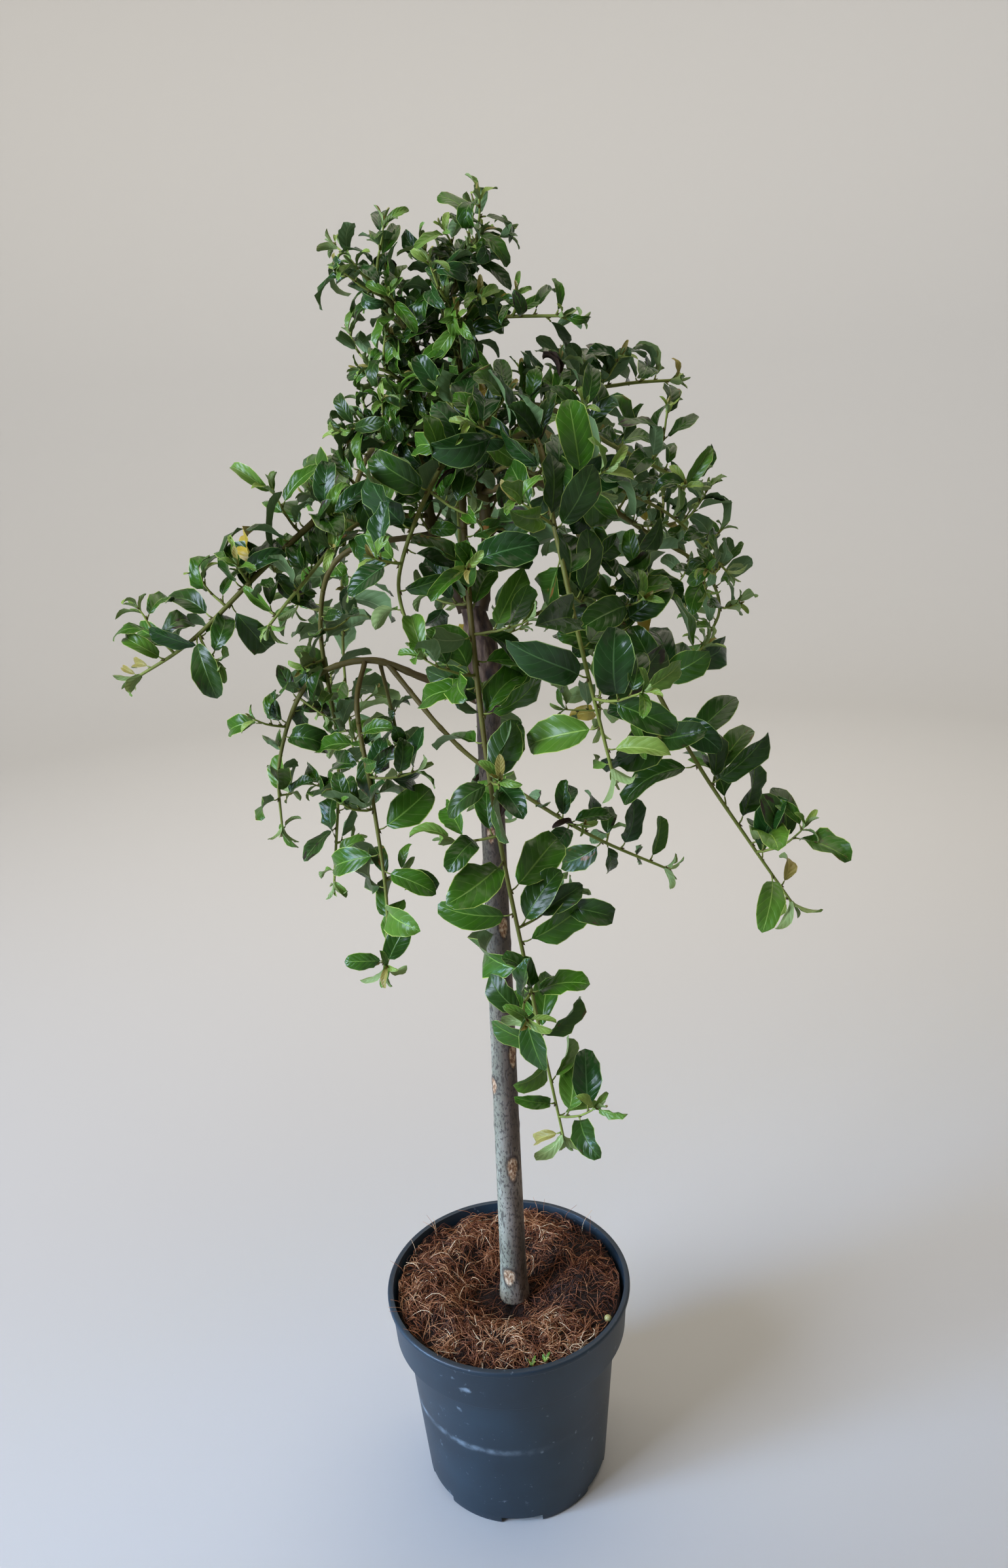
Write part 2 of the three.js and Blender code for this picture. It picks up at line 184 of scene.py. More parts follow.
class Path:
    """A smooth line through some points, measured by its own length."""

    def __init__(self, points, fineness=24):
        ends = [points[0] * 2 - points[1], *points, points[-1] * 2 - points[-2]]
        self.dots = [points[0].copy()]
        for a, b, c, d in zip(ends, ends[1:], ends[2:], ends[3:]):
            out, into = (c - a) / 2, (d - b) / 2
            for i in range(1, fineness + 1):
                t = i / fineness
                self.dots.append(
                    b * (2 * t**3 - 3 * t**2 + 1)
                    + out * (t**3 - 2 * t**2 + t)
                    + c * (3 * t**2 - 2 * t**3)
                    + into * (t**3 - t**2)
                )
        self.marks = [0]
        for a, b in zip(self.dots, self.dots[1:]):
            self.marks.append(self.marks[-1] + (b - a).length)
        self.length = self.marks[-1]

    def at(self, share):
        """The point at a share of the length."""
        want = min(1, max(0, share)) * self.length
        low = 0
        high = len(self.marks) - 1
        while high - low > 1:
            middle = (low + high) // 2
            if self.marks[middle] <= want:
                low = middle
            else:
                high = middle
        span = self.marks[high] - self.marks[low]
        return self.dots[low].lerp(self.dots[high], (want - self.marks[low]) / span if span else 0)

    def heading(self, share):
        """The direction of growth at a share of the length."""
        reach = min(0.02, 0.004 / self.length)
        return (self.at(share + reach) - self.at(share - reach)).normalized()

    def stretch(self, first, last, step):
        """Points about a step apart, from one share of the length to another."""
        count = max(2, round((last - first) * self.length / step))
        return [self.at(first + (last - first) * i / count) for i in range(count + 1)]


def limb_path(name):
    """A limb's line, from its root on the stem or on another limb."""
    limb = CROWN[name]
    if isinstance(limb.root[0], str):
        start = limb_path(limb.root[0]).at(limb.root[1])
    else:
        start = place(*limb.root)
    return Path([start, *[place(*spot) for spot in limb.through]])


def mesh_of(name, bm, materials=()):
    """A smooth mesh made of bm, which is used up."""
    mesh = bpy.data.meshes.new(name)
    bm.to_mesh(mesh)
    bm.free()
    mesh.polygons.foreach_set("use_smooth", [True] * len(mesh.polygons))
    for material in materials:
        mesh.materials.append(material)
    return mesh


def in_scene(name, data):
    """A new object in the scene."""
    made = bpy.data.objects.new(name, data)
    bpy.context.scene.collection.objects.link(made)
    return made


def piece(name, bm, materials, slot, *nodes, sharp=0):
    """Makes a mesh object of bm, which rides on the plant and stands for the CAD nodes. Where sharp is
    given, edges steeper than that many degrees stay crisp."""
    mesh = mesh_of(name, bm, materials)
    if sharp:
        mesh.set_sharp_from_angle(angle=math.radians(sharp))
    made = in_scene(name, mesh)
    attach(made, "root")
    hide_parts(*nodes)
    return made


# ---------- round bars laid along a line: wood, twigs, stalks and fibres ----------

UV_NAME = "OFBake"
blanks = {}


def bar_blank(sides, rings):
    """A straight round bar of radius 1 from z 0 to z 1. Its map runs round it and along it."""
    key = (sides, rings)
    if key in blanks:
        return blanks[key]
    bm = bmesh.new()
    bmesh.ops.create_cone(
        bm, cap_ends=True, segments=sides, radius1=1, radius2=1, depth=1,
        matrix=Matrix.Translation((0, 0, 0.5)),
    )
    long_edges = [e for e in bm.edges if abs(e.verts[0].co.z - e.verts[1].co.z) > 0.5]
    if rings > 1:
        bmesh.ops.subdivide_edges(bm, edges=long_edges, cuts=rings - 1)
    layer = bm.loops.layers.uv.new(UV_NAME)
    for face in bm.faces:
        flat = abs(face.normal.z) > 0.5
        middle = face.calc_center_median()
        for loop in face.loops:
            x, y, z = loop.vert.co
            if flat:
                loop[layer].uv = (0.5 + 0.05 * x, 0.01 + 0.97 * z + 0.01 * y)
                continue
            turn = math.atan2(y, x) / math.tau
            turn -= round(turn - math.atan2(middle.y, middle.x) / math.tau)
            loop[layer].uv = (turn + 0.5, z)
    blanks[key] = mesh_of("bar_blank", bm)
    return blanks[key]


def bar_bmesh():
    """An empty bmesh with the map that bars and leaves bring with them."""
    bm = bmesh.new()
    bm.loops.layers.uv.new(UV_NAME)
    return bm


def add_blank(bm, blank):
    """Adds a copy of a blank to bm, and returns its own points and faces."""
    points, faces = len(bm.verts), len(bm.faces)
    bm.from_mesh(blank)
    bm.verts.ensure_lookup_table()
    bm.faces.ensure_lookup_table()
    return bm.verts[points:], bm.faces[faces:]


def hoops(points):
    """For each point of a line, the point and two directions across the line that turn as little as they
    can."""
    side = None
    found = []
    for i, point in enumerate(points):
        along = (points[min(i + 1, len(points) - 1)] - points[max(i - 1, 0)]).normalized()
        if side is None:
            side = along.orthogonal().normalized()
        side = (side - along * side.dot(along)).normalized()
        found.append((point, side, along.cross(side)))
    return found


def add_bar(bm, points, radius_at, sides, youth=(0, 1), slot=0):
    """Lays a round bar along points. radius_at gives its radius at a share of its length and an angle."""
    rings = len(points) - 1
    frames = hoops(points)
    verts, faces = add_blank(bm, bar_blank(sides, rings))
    for vert in verts:
        x, y, z = vert.co
        ring = round(z * rings)
        point, side, front = frames[ring]
        vert.co = point + (side * x + front * y) * radius_at(ring / rings, math.atan2(y, x))
    layer = bm.loops.layers.uv[UV_NAME]
    for face in faces:
        face.material_index = slot
        for loop in face.loops:
            loop[layer].uv.y = youth[0] + (youth[1] - youth[0]) * loop[layer].uv.y
    return verts


def taper(first, last):
    """The radius of a plain tapering bar."""
    return lambda share, angle: first + (last - first) * share


# ---------- materials ----------


def add(tree, kind, inputs=(), out=0, stops=(), **settings):
    """Adds a shader node with its settings, its inputs in order or by name, and, for a colour ramp, its
    stops as (place, hex colour). Returns one of its outputs."""
    made = tree.nodes.new("ShaderNode" + kind)
    for name, value in settings.items():
        setattr(made, name, value)
    for name, value in inputs.items() if isinstance(inputs, dict) else enumerate(inputs):
        if isinstance(value, bpy.types.NodeSocket):
            tree.links.new(value, made.inputs[name])
        else:
            made.inputs[name].default_value = value
    if stops:
        elements = made.color_ramp.elements
        for _ in stops[2:]:
            elements.new(0.5)
        for element, (spot, colour) in zip(elements, stops):
            element.position = spot
            element.color = linear(colour)
    return made.outputs[out]


def new_material(name, **values):
    """A material with one Principled shader, whose sockets take the values given."""
    material = bpy.data.materials.new(name)
    material.use_nodes = True
    tree = material.node_tree
    shader = tree.nodes["Principled BSDF"]
    for socket, value in values.items():
        shader.inputs[socket.replace("_", " ")].default_value = value
    return material, tree, shader


def surface(tree, shader, colour, height, strength, depth):
    """Gives the shader its colour, and relief from a height whose full range is a depth in metres."""
    relief = add(tree, "Bump", {"Height": height, "Strength": strength, "Distance": depth})
    tree.links.new(colour, shader.inputs["Base Color"])
    tree.links.new(relief, shader.inputs["Normal"])


# Willow leaf: a thin waxy blade, glossy and deep green above, dull and paler beneath, with a pale midrib,
# fine side veins and a thin pale edge. "blotch" is how much of it is blemished, in the colour of "spot".
LeafKind = namedtuple("LeafKind", "blade shade vein edge roughness blotch spot", defaults=(0, "#4a3322"))

LEAF_KINDS = {
    "deep": LeafKind("#2c5012", "#1e3b0b", "#5d8036", "#a6bd5c", 0.25),
    "deep_worn": LeafKind("#2d4d15", "#1f390c", "#587835", "#9bb255", 0.3, 0.35),
    "deep_blue": LeafKind("#274b1c", "#1a3710", "#517740", "#94af60", 0.23),
    "deep_spotted": LeafKind("#2f4f13", "#21390b", "#5d7936", "#a2b354", 0.32, 0.55, "#7d5426"),
    "middle": LeafKind("#3e6a16", "#2e520e", "#769c3e", "#b6cb60", 0.27),
    "middle_worn": LeafKind("#3c6418", "#2c4c0f", "#6f913a", "#adc05a", 0.32, 0.35, "#5d422a"),
    "fresh": LeafKind("#588226", "#456a1c", "#93b551", "#bccd68", 0.32),
    "fresh_pale": LeafKind("#6b9136", "#557829", "#9fbb58", "#c1d074", 0.36),
    "young": LeafKind("#8ba747", "#728c37", "#b0c464", "#cad87e", 0.42),
    "young_bronze": LeafKind("#998f45", "#7f7534", "#b3ad5f", "#c4b064", 0.42, 0.2, "#96643a"),
    "yellow": LeafKind("#b8982a", "#8d8426", "#c8b652", "#c6b446", 0.42, 0.3, "#5e4c20"),
    "blemished": LeafKind("#33541a", "#253c10", "#678240", "#93a75e", 0.34, 0.85, "#2c1f19"),
    "withered": LeafKind("#43301f", "#2e2016", "#5e4830", "#4d3c2a", 0.8, 0.6, "#1b1310"),
    "under": LeafKind("#6f8a58", "#5e7a4a", "#97ad78", "#a0b178", 0.6),
    "under_young": LeafKind("#8fa562", "#7c9354", "#adbd7e", "#b8c57e", 0.6),
}
MAP_CELLS = 4  # the leaves' map is a square of this many cells a side, one for each kind
VEINS = 8
VEIN_SLANT = 0.22


def cell_of(kind):
    """The column and the line of a leaf kind's cell in the map."""
    order = list(LEAF_KINDS).index(kind)
    return order % MAP_CELLS, order // MAP_CELLS


def leaf_material(kind):
    """One kind of leaf: its mottled blade, veins and edge, and its blotches where it has any."""
    look = LEAF_KINDS[kind]
    material, tree, shader = new_material(
        "willow_leaf_" + kind, Roughness=look.roughness, IOR=1.45, Specular_IOR_Level=0.42)
    layout = add(tree, "UVMap", uv_map=UV_NAME)
    scaled = add(tree, "VectorMath", (layout, (MAP_CELLS,) * 3), operation="MULTIPLY")
    local = add(tree, "VectorMath", (scaled,), operation="FRACTION")
    x = add(tree, "SeparateXYZ", (local,), 0)
    along = add(tree, "SeparateXYZ", (local,), 1)
    doubled = add(tree, "Math", (x, 2.0, -1.0), operation="MULTIPLY_ADD")
    across = add(tree, "Math", (doubled,), operation="ABSOLUTE")
    # The midrib narrows towards the tip, and the side veins run forwards from it to the edge.
    rib_width = add(tree, "Math", (along, -0.06, 0.1), operation="MULTIPLY_ADD")
    rib = add(tree, "MapRange", (across, 0.0, rib_width, 1.0, 0.0), interpolation_type="SMOOTHSTEP")
    slant = add(tree, "Math", (across, -VEIN_SLANT * VEINS), operation="MULTIPLY")
    phase = add(tree, "Math", (along, float(VEINS), slant), operation="MULTIPLY_ADD")
    panel = add(tree, "Math", (phase, 0.5), operation="PINGPONG")
    vein = add(tree, "MapRange", (panel, 0.0, 0.06, 0.26, 0.0))
    edge = add(tree, "MapRange", (across, 0.9, 0.96, 0.0, 1.0), interpolation_type="SMOOTHSTEP")
    lines = add(tree, "Math", (rib, vein), operation="MAXIMUM")
    mottle = add(tree, "TexNoise", {"Vector": layout, "Scale": 22.0, "Detail": 3.0})
    blade = add(
        tree, "Mix", {0: mottle, 6: linear(look.blade), 7: linear(look.shade)}, 2, data_type="RGBA")
    colour = add(tree, "Mix", {0: lines, 6: blade, 7: linear(look.vein)}, 2, data_type="RGBA")
    if look.blotch:
        patches = add(tree, "TexNoise", {"Vector": layout, "Scale": 15.0, "Detail": 2.0})
        level = 0.74 - 0.22 * look.blotch
        spotted = add(tree, "MapRange", (patches, level, level + 0.05, 0.0, 0.9))
        colour = add(tree, "Mix", {0: spotted, 6: colour, 7: linear(look.spot)}, 2, data_type="RGBA")
    edged = add(tree, "Mix", {0: edge, 6: colour, 7: linear(look.edge)}, 2, data_type="RGBA")
    relief = add(tree, "Math", (lines, -0.6, panel), operation="MULTIPLY_ADD")
    surface(tree, shader, edged, relief, 0.35, 0.8 * MM)
    return material


def twig_bark():
    """Young willow bark: smooth and slightly waxy, brown on old wood, through olive, to yellow-green at
    the tip."""
    material, tree, shader = new_material(
        "willow_twig_bark", Roughness=0.6, IOR=1.45, Specular_IOR_Level=0.3)
    layout = add(tree, "UVMap", uv_map=UV_NAME)
    youth = add(tree, "SeparateXYZ", (layout,), 1)
    spots = add(tree, "TexCoord", out=3)
    grain = add(tree, "TexNoise", {"Vector": spots, "Scale": 160.0, "Detail": 4.0})
    shifted = add(tree, "Math", (grain, 0.3, -0.15), operation="MULTIPLY_ADD")
    tone = add(tree, "Math", (youth, shifted), operation="ADD")
    colour = add(tree, "ValToRGB", (tone,), stops=[
        (0.0, "#2f2216"), (0.22, "#46361c"), (0.45, "#5a5022"), (0.7, "#66692c"), (1.0, "#8a9945")])
    surface(tree, shader, colour, grain, 0.4, 0.4 * MM)
    return material


def old_bark():
    """Old willow bark at the graft: dark brown, rough and cracked along its length."""
    material, tree, shader = new_material("willow_old_bark", Roughness=0.85, IOR=1.45)
    spots = add(tree, "TexCoord", out=3)
    long = add(tree, "Mapping", {"Vector": spots, "Scale": (1.0, 1.0, 0.35)})
    cracks = add(tree, "TexNoise", {"Vector": long, "Scale": 260.0, "Detail": 6.0})
    colour = add(tree, "ValToRGB", (cracks,), stops=[(0.3, "#231915"), (0.5, "#4a382c"), (0.72, "#7b6753")])
    surface(tree, shader, colour, cracks, 0.7, 1.0 * MM)
    return material


def stem_bark():
    """Smooth willow stem bark: pale grey-green, with painted shade in brown on the side away from the light,
    brown all round near the graft, specked and finely cracked, with tan wood in the pruning scars."""
    material, tree, shader = new_material("willow_stem_bark", Roughness=0.7, IOR=1.45)
    spots = add(tree, "TexCoord", out=3)
    clouds_room = add(tree, "Mapping", {"Vector": spots, "Scale": (1.0, 1.0, 0.3)})
    clouds = add(tree, "TexNoise", {"Vector": clouds_room, "Scale": 70.0, "Detail": 6.0})
    skin = add(tree, "ValToRGB", (clouds,), stops=[(0.3, "#625f50"), (0.5, "#85826d"), (0.7, "#a8a591")])
    brown = add(tree, "ValToRGB", (clouds,), stops=[(0.3, "#41352c"), (0.5, "#65574a"), (0.7, "#85786a")])
    # Painted shade: the side away from the light is painted brown, and the bark is also brown all round near
    # the graft.
    across = add(tree, "SeparateXYZ", (spots,), 0)
    painted_shade_side = add(tree, "MapRange", (across, -3 * MM, 7 * MM, -0.2, 0.9))
    height = add(tree, "SeparateXYZ", (spots,), 2)
    high = add(tree, "MapRange", (height, 0.5, 0.63, 0.0, 0.7))
    sides = add(tree, "Math", (painted_shade_side, high), operation="ADD")
    cloudy = add(tree, "Math", (clouds, 1.6, -0.6), operation="MULTIPLY_ADD")
    shade_and_graft_brown_mask = add(tree, "Math", (sides, cloudy), operation="ADD", use_clamp=True)
    # Mixes the bark towards brown: painted shade on the side away from the light, and the bark's own brown near
    # the graft.
    bark = add(tree, "Mix", {0: shade_and_graft_brown_mask, 6: skin, 7: brown}, 2, data_type="RGBA")
    specks_room = add(tree, "Mapping", {"Vector": spots, "Scale": (1.0, 1.0, 0.55)})
    specks = add(tree, "TexNoise", {"Vector": specks_room, "Scale": 620.0, "Detail": 3.0})
    specked = add(tree, "MapRange", (specks, 0.53, 0.6, 0.0, 0.8))
    crack_room = add(tree, "Mapping", {"Vector": spots, "Scale": (1.0, 1.0, 0.2)})
    crack_grain = add(tree, "TexNoise", {"Vector": crack_room, "Scale": 330.0, "Detail": 3.0})
    cracked = add(tree, "MapRange", (crack_grain, 0.6, 0.66, 0.0, 0.8))
    dark = add(tree, "Math", (specked, cracked), operation="MAXIMUM")
    skinned = add(tree, "Mix", {0: dark, 6: bark, 7: linear("#3c332b")}, 2, data_type="RGBA")
    scar = add(tree, "Attribute", out=2, attribute_name="scar")
    wood = add(tree, "ValToRGB", (specks,), stops=[(0.38, "#6d4a31"), (0.5, "#a57e5b"), (0.62, "#cfb594")])
    marked = add(tree, "Mix", {0: scar, 6: skinned, 7: wood}, 2, data_type="RGBA")
    lip = add(tree, "Attribute", out=2, attribute_name="scar_lip")
    lipped = add(tree, "Mix", {0: lip, 6: marked, 7: linear("#33251c")}, 2, data_type="RGBA")
    relief = add(tree, "Math", (dark, -0.8, clouds), operation="MULTIPLY_ADD")
    surface(tree, shader, lipped, relief, 0.6, 0.4 * MM)
    return material


SCUFF_HEIGHT = 0.0815
# Pale rubbed spots on the pot: the middle of each, and how far it spreads, in millimetres.
SMUDGES = [
    ((-43, -81, 151), 11), ((-36, -84, 149), 9), ((-24, -88, 149), 10), ((-45, -68, 116), 9),
    ((18, -76, 75), 4), ((58, -50, 57), 3.5), ((52, -56, 55), 3), ((-55, -47, 8), 9),
    ((60, 60, 120), 14), ((-70, 30, 100), 12),
]


def smudge(tree, spots, centre, reach, patchy):
    """How strongly a rubbed spot shows, from 0 to 1: broken up by a noise, and gone past its reach."""
    apart = add(tree, "VectorMath", (spots, [c * MM for c in centre]), 1, operation="DISTANCE")
    near = add(tree, "MapRange", (apart, 0.0, reach * MM, 0.14, -0.14))
    rubbed = add(tree, "Math", (near, patchy), operation="ADD")
    return add(tree, "MapRange", (rubbed, 0.56, 0.72, 0.0, 0.6))


def pot_plastic():
    """Moulded recycled polypropylene: dark blue-grey and matt, with faint scuffs from handling."""
    material, tree, shader = new_material(
        "recycled_polypropylene", Roughness=0.47, IOR=1.49, Specular_IOR_Level=0.5)
    spots = add(tree, "TexCoord", out=3)
    clouds = add(tree, "TexNoise", {"Vector": spots, "Scale": 18.0, "Detail": 5.0})
    plastic = add(tree, "ValToRGB", (clouds,), stops=[(0.3, "#13212b"), (0.7, "#1b2f3b")])
    # A dusty scuffed ring where the next pot of the stack rested, plainest on the left.
    height = add(tree, "SeparateXYZ", (spots,), 2)
    across = add(tree, "SeparateXYZ", (spots,), 0)
    wavy = add(tree, "Math", (clouds, 5 * MM, height), operation="MULTIPLY_ADD")
    off_ring = add(tree, "Math", (wavy, SCUFF_HEIGHT), operation="SUBTRACT")
    distance = add(tree, "Math", (off_ring,), operation="ABSOLUTE")
    ring = add(tree, "MapRange", (distance, 0.0, 4.5 * MM, 1.0, 0.0), interpolation_type="SMOOTHSTEP")
    leftward = add(tree, "MapRange", (across, -25 * MM, 25 * MM, 0.5, 0.03))
    patchy = add(tree, "TexNoise", {"Vector": spots, "Scale": 130.0, "Detail": 6.0})
    broken = add(tree, "MapRange", (patchy, 0.38, 0.64, 0.1, 1.0))
    ring_left = add(tree, "Math", (ring, leftward), operation="MULTIPLY")
    worn = add(tree, "Math", (ring_left, broken), operation="MULTIPLY")
    specks = add(tree, "TexNoise", {"Vector": spots, "Scale": 210.0, "Detail": 2.0})
    dust = add(tree, "MapRange", (specks, 0.7, 0.78, 0.0, 0.4))
    worn = add(tree, "Math", (worn, dust), operation="MAXIMUM")
    for centre, reach in SMUDGES:
        worn = add(tree, "Math", (worn, smudge(tree, spots, centre, reach, patchy)), operation="MAXIMUM")
    colour = add(tree, "Mix", {0: worn, 6: plastic, 7: linear("#8d9ca6")}, 2, data_type="RGBA")
    fine = add(tree, "TexNoise", {"Vector": spots, "Scale": 900.0, "Detail": 2.0})
    surface(tree, shader, colour, fine, 0.15, 0.2 * MM)
    return material


def coir_mat_material():
    """Packed coir and peat under the loose fibres: crumbly and dull, its dark brown darkened to near black as
    painted shade in the gaps between the fibres.
    """
    material, tree, shader = new_material("packed_coir", Roughness=0.95, IOR=1.4)
    spots = add(tree, "TexCoord", out=3)
    crumbs = add(tree, "TexNoise", {"Vector": spots, "Scale": 350.0, "Detail": 6.0})
    colour = add(tree, "ValToRGB", (crumbs,), stops=[(0.3, "#0d0806"), (0.55, "#1f1510"), (0.75, "#3d291e")])
    surface(tree, shader, colour, crumbs, 1.0, 1.5 * MM)
    return material


# Loose coir fibres, each a plain dull colour, from the darkest to the palest.
FIBRE_COLOURS = {
    "dark": "#341c11", "red_brown": "#6c3f28", "brown": "#935f3f", "tan": "#b98860", "pale": "#dfc4a0"}

# ---------- the pot ----------

# Half the pot's section in millimetres: the underside, the foot, the body, the collar and its lip outside,
# then the inside down to the floor.
POT_SECTION = [
    (0, 0), (30, 0), (32, 3), (56, 3), (58, 0), (70, 0), (71.25, 0.33), (72.17, 1.25), (72.5, 2.5),
    (72.93, 8), (77.6, 67.25), (82.5, 129.5), (90.5, 133.5), (92.5, 165.5), (95, 167.5), (95, 170.5),
    (94, 171.5), (90.5, 171.5), (88.5, 134.5), (80.5, 130.5), (70.97, 8.5), (0, 8.5),
]
AXIS_STEPS = 96  # the flat sides of what is turned round the pot's axis
POT_ROUND = 1.2 * MM  # how round the moulded corners of the section are
SHARP_EDGE = 35  # degrees, past which an edge of the pot stays crisp
NOTCHES = 6
NOTCH_REACH = 65.25 * MM
NOTCH_SIZE = Vector((22.5, 32, 13)) * MM


def turned(section, steps):
    """A mesh turned round the upright axis from a section in millimetres."""
    bm = bmesh.new()
    verts = [bm.verts.new((radius * MM, 0, height * MM)) for radius, height in section]
    edges = [bm.edges.new(pair) for pair in zip(verts, verts[1:])]
    bmesh.ops.spin(
        bm, geom=verts + edges, axis=UP, cent=(0, 0, 0), steps=steps, angle=math.tau, use_merge=True)
    bmesh.ops.remove_doubles(bm, verts=bm.verts, dist=0.01 * MM)
    bmesh.ops.recalc_face_normals(bm, faces=bm.faces)
    return bm


def make_notch_cutter():
    """Six bars that cut the drain notches through the foot ring. Half of each bar's height is below the
    pot."""
    bm = bmesh.new()
    for i in range(NOTCHES):
        turn = Matrix.Rotation(math.radians(270 + 360 / NOTCHES * i), 4, "Z")
        place_at = Matrix.Translation((NOTCH_REACH, 0, 0))
        size = Matrix.Diagonal((*NOTCH_SIZE, 1))
        bmesh.ops.create_cube(bm, size=1, matrix=turn @ place_at @ size)
    return in_scene("notch_cutter", mesh_of("notch_cutter", bm))


def make_pot():
    """The pot: turned from its section, its hoops rounded, and its foot notched."""
    bm = turned(POT_SECTION, AXIS_STEPS)
    hoops_to_round = [
        edge for edge in bm.edges
        if edge.is_manifold and abs(edge.verts[0].co.z - edge.verts[1].co.z) < 1e-6
        and edge.verts[0].co.z > 100 * MM and edge.calc_face_angle(0) > math.radians(20)
    ]
    bmesh.ops.bevel(
        bm, geom=hoops_to_round, offset=POT_ROUND / 2, affect="EDGES", segments=2, profile=0.5,
        material=-1, clamp_overlap=True)
    pot = piece("pot_shell", bm, [pot_plastic()], "pot_plastic", "pot", sharp=SHARP_EDGE)
    cutter = make_notch_cutter()
    cut = pot.modifiers.new("notches", "BOOLEAN")
    cut.operation = "DIFFERENCE"
    cut.solver = "EXACT"
    cut.object = cutter
    shaped = bpy.data.meshes.new_from_object(pot.evaluated_get(bpy.context.evaluated_depsgraph_get()))
    pot.modifiers.remove(cut)
    pot.data = shaped
    shaped.set_sharp_from_angle(angle=math.radians(SHARP_EDGE))
    bpy.data.objects.remove(cutter)


make_pot()

# ---------- the coir-topped root ball ----------

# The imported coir, in millimetres: its radius and height at the edge, at the crest of its low ring, and at
# the flat of its dip.
COIR_EDGE, EDGE = 87.5, 164
CREST_RADIUS, CREST = 56, 168.5
FLAT_RADIUS, FLAT = 20, 155
LUMP = 2.8 * MM  # the height of its tufts
LUMPS_A_METRE = 100


def coir_height(reach):
    """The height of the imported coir, in metres, at a distance from the pot's axis: a low ring round a dip."""
    reach /= MM
    if reach < CREST_RADIUS:
        share = max(0, reach - FLAT_RADIUS) / (CREST_RADIUS - FLAT_RADIUS)
        return (FLAT + (CREST - FLAT) * (1 - math.cos(math.pi * share)) / 2) * MM
    share = max(0, COIR_EDGE - reach) / (COIR_EDGE - CREST_RADIUS)
    return (EDGE + (CREST - EDGE) * math.sin(math.pi / 2 * share)) * MM


def coir_lumps(spot):
    """How far the coir's tufts stand above or below its plain top."""
    return LUMP * noise.fractal(Vector((spot.x, spot.y, 0)) * LUMPS_A_METRE, 0.9, 2, 4)


def make_coir_mat():
    """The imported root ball: turned from its section, then roughened on top."""
    section = [(0, 8.9), (69.8, 8.9), (79.5, 130.5), (87.5, 134.5), (87.5, 162), (86, 164)]
    section += [(reach, coir_height(reach * MM) / MM) for reach in range(84, 0, -3)] + [(0, FLAT)]
    bm = turned(section, AXIS_STEPS)
    for vert in bm.verts:
        if vert.co.z > (FLAT - 1) * MM and Vector(vert.co[:2]).length < 85 * MM:
            vert.co.z += coir_lumps(vert.co) - LUMP / 2
    piece("coir_mat", bm, [coir_mat_material()], "coir_fibre", "growing_medium")


def fibre_tone_and_painted_light(spot, local, dice):
    """How light a fibre at a spot is: a random tone, with painted shade to the right, away from the light, and
    in the dip round the stem, and a painted pool of light on the crest at the front right.
    """
    light = 0.46 + 0.85 * local + dice.gauss(0, 0.4)
    light -= 0.5 * smooth(spot.x, 20 * MM, 60 * MM) * smooth(spot.y, -60 * MM, -20 * MM)
    light -= 0.75 * (1 - smooth(spot.length, 16 * MM, 44 * MM))
    light -= 0.7 * math.exp(-(((spot - Vector((62, -22, 0)) * MM).length / (20 * MM)) ** 2))
    light += 0.3 * math.exp(-(((spot - Vector((22, -50, 0)) * MM).length / (24 * MM)) ** 2))
    return light


FIBRES = 5400
STRAY_FIBRES = 22
FIBRE_LEVELS = [-9, 0.1, 0.42, 0.78, 1.15]  # how light a fibre has to be for each colour
FIBRE_BENDS = 4  # the straight stretches of a fibre
FIBRE_LIMIT = 86.5 * MM  # no fibre lies past this distance from the pot's axis


